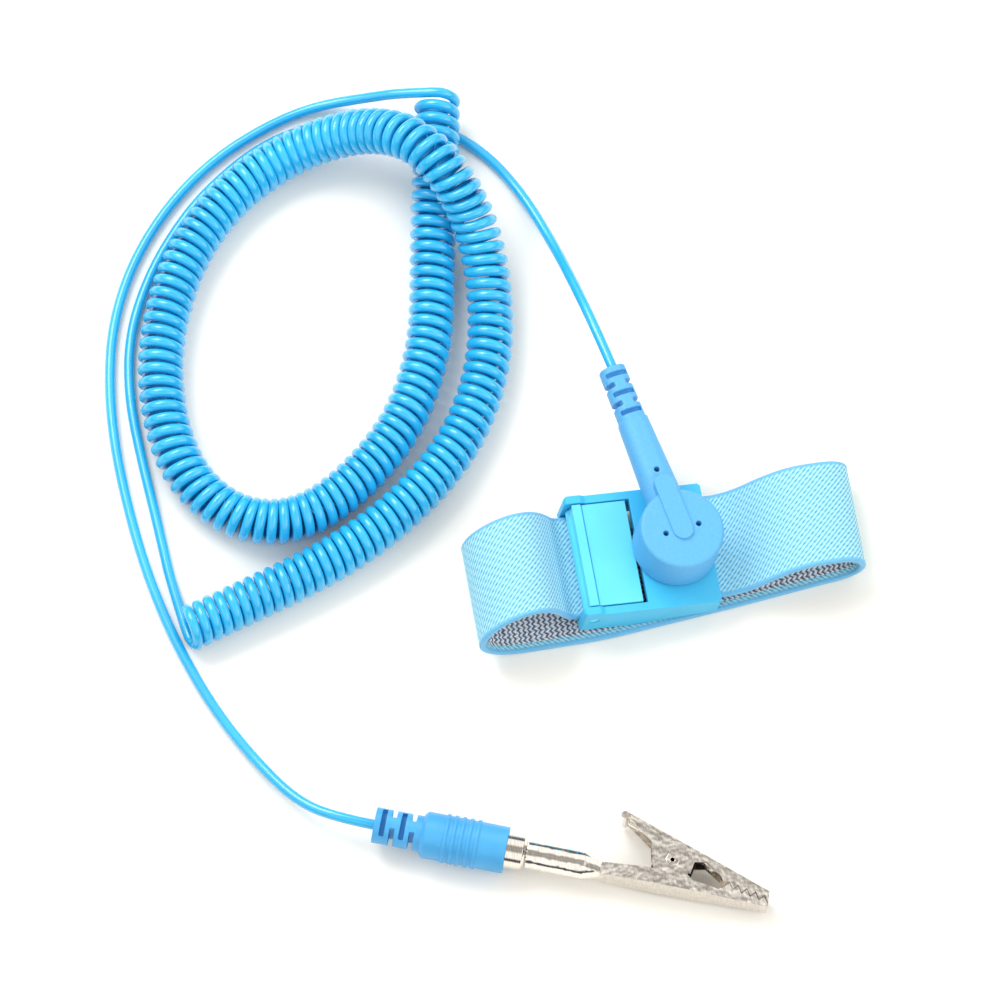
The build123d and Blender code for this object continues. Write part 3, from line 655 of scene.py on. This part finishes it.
def softened(node, voxel, rounds):
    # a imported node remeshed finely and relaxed, as soft vinyl comes out of its mould; the voxel is
    # in mm, and so is the mesh while it is remeshed
    piece = copyOf(node)
    piece.data.transform(Matrix.Scale(1 / mm, 4))
    remesh = piece.modifiers.new("remesh", "REMESH")
    remesh.mode = "VOXEL"
    remesh.voxel_size = voxel
    relax = piece.modifiers.new("relax", "SMOOTH")
    relax.factor = 0.5
    relax.iterations = rounds
    mesh = evaluated(piece)
    piece.modifiers.clear()
    mesh.transform(Matrix.Scale(mm, 4))
    piece.data = mesh
    print(node, "softened:", len(mesh.polygons), "faces")
    return finishPiece(piece, node)


easedEdges = {            # node: edge radius in mm
    "buckle_base": 0.35, "lock_lever": 0.22, "contact_plate": 0.08, "stud_rivet": 0.1, "snap_stud": 0.08,
    "clip_lower_jaw": 0.19, "clip_upper_jaw": 0.17, "clip_rivet": 0.12, "banana_body": 0.12,
}
for node, radius in easedEdges.items():
    eased(node, radius)
softened("head_overmould", voxel=0.12, rounds=2)
bootPiece = softened("plug_boot", voxel=0.1, rounds=2)
print("moulded and pressed pieces made")


view = {
    "aim": (-30.8, 17.9, 0.0),   # mm, the point in the middle of the view
    "turn": 10.0,                # degrees, the camera looks a little towards +X
    "down": 69.5,                # degrees below the horizon
    "away": 3204.0,              # mm, far off with a long lens, so that nothing near looks larger
    "lens": 600.0,               # mm
}

light = {
    "tent": 1.3,                 # strength of the surroundings
    "key": 5.5, "fill": 2.5,     # watts
    "middle": (-0.03, 0.03, 0),  # m, where both lamps point
}


def makeFloor():
    mesh = bpy.data.meshes.new("bench")
    reach, level = 2.5, -0.02 * mm      # m
    mesh.from_pydata([(-reach, -reach, level), (reach, -reach, level), (reach, reach, level),
                      (-reach, reach, level)], [], [(0, 1, 2, 3)])
    floor = bpy.data.objects.new("bench", mesh)
    bpy.context.scene.collection.objects.link(floor)
    material, _, _ = newMaterial("matteWhiteCard", {"Base Color": linear("#FBF8F2"), "Roughness": 0.9,
                                                    "Specular IOR Level": 0.1})
    giveMaterial(floor, material)


def addLight(name, place, size, power):
    source = bpy.data.lights.new(name, "AREA")
    source.shape = "RECTANGLE"
    source.size, source.size_y = size
    source.energy = power
    lamp = bpy.data.objects.new(name, source)
    lamp.location = place
    lamp.rotation_mode = "QUATERNION"
    lamp.rotation_quaternion = (Vector(light["middle"]) - Vector(place)).to_track_quat("-Z", "Y")
    bpy.context.scene.collection.objects.link(lamp)


def makeLight():
    # a light tent: bright round about, a dark gap low down and a darker opening overhead, which
    # draw the streaks in the metal
    world = bpy.data.worlds.new("studio")
    world.use_nodes = True
    tree = world.node_tree
    tree.nodes.clear()
    place = addNode(tree, "ShaderNodeTexCoord")
    axes = addNode(tree, "ShaderNodeSeparateXYZ", None, {"Vector": place.outputs["Generated"]})
    tent = addNode(tree, "ShaderNodeValToRGB", None, {"Fac": axes.outputs["Z"]})
    setRamp(tent, [(0.0, linear("#8D8E90")), (0.12, linear("#36373A")), (0.3, linear("#505255")),
                   (0.45, linear("#FFFEFB")), (0.88, linear("#FFFEFB")), (0.925, linear("#D6D4D0")),
                   (0.965, linear("#96938F")), (1.0, linear("#A09E9B"))])
    sky = addNode(tree, "ShaderNodeBackground", {"Strength": light["tent"]},
                  {"Color": tent.outputs["Color"]})
    addNode(tree, "ShaderNodeOutputWorld", None, {"Surface": sky.outputs["Background"]})
    bpy.context.scene.world = world
    addLight("key", (-0.35, 0.55, 0.75), (0.6, 0.5), light["key"])
    addLight("fill", (0.7, -0.5, 0.6), (0.8, 0.6), light["fill"])


def makeCamera():
    aim = Vector(view["aim"]) * mm
    turn, down = math.radians(view["turn"]), math.radians(view["down"])
    ahead = Vector((math.sin(turn) * math.cos(down), math.cos(turn) * math.cos(down), -math.sin(down)))
    lens = bpy.data.cameras.new("camera")
    lens.lens = view["lens"]
    lens.sensor_width = 36.0
    lens.clip_start, lens.clip_end = 0.05, 20.0
    camera = bpy.data.objects.new("camera", lens)
    camera.location = aim - ahead * view["away"] * mm
    camera.rotation_mode = "QUATERNION"
    camera.rotation_quaternion = ahead.to_track_quat("-Z", "Y")
    bpy.context.scene.collection.objects.link(camera)
    bpy.context.scene.camera = camera


makeFloor()
makeLight()
makeCamera()
bpy.context.scene.view_settings.view_transform = "Standard"
print("bench, light and camera made")

bpy.context.view_layer.update()
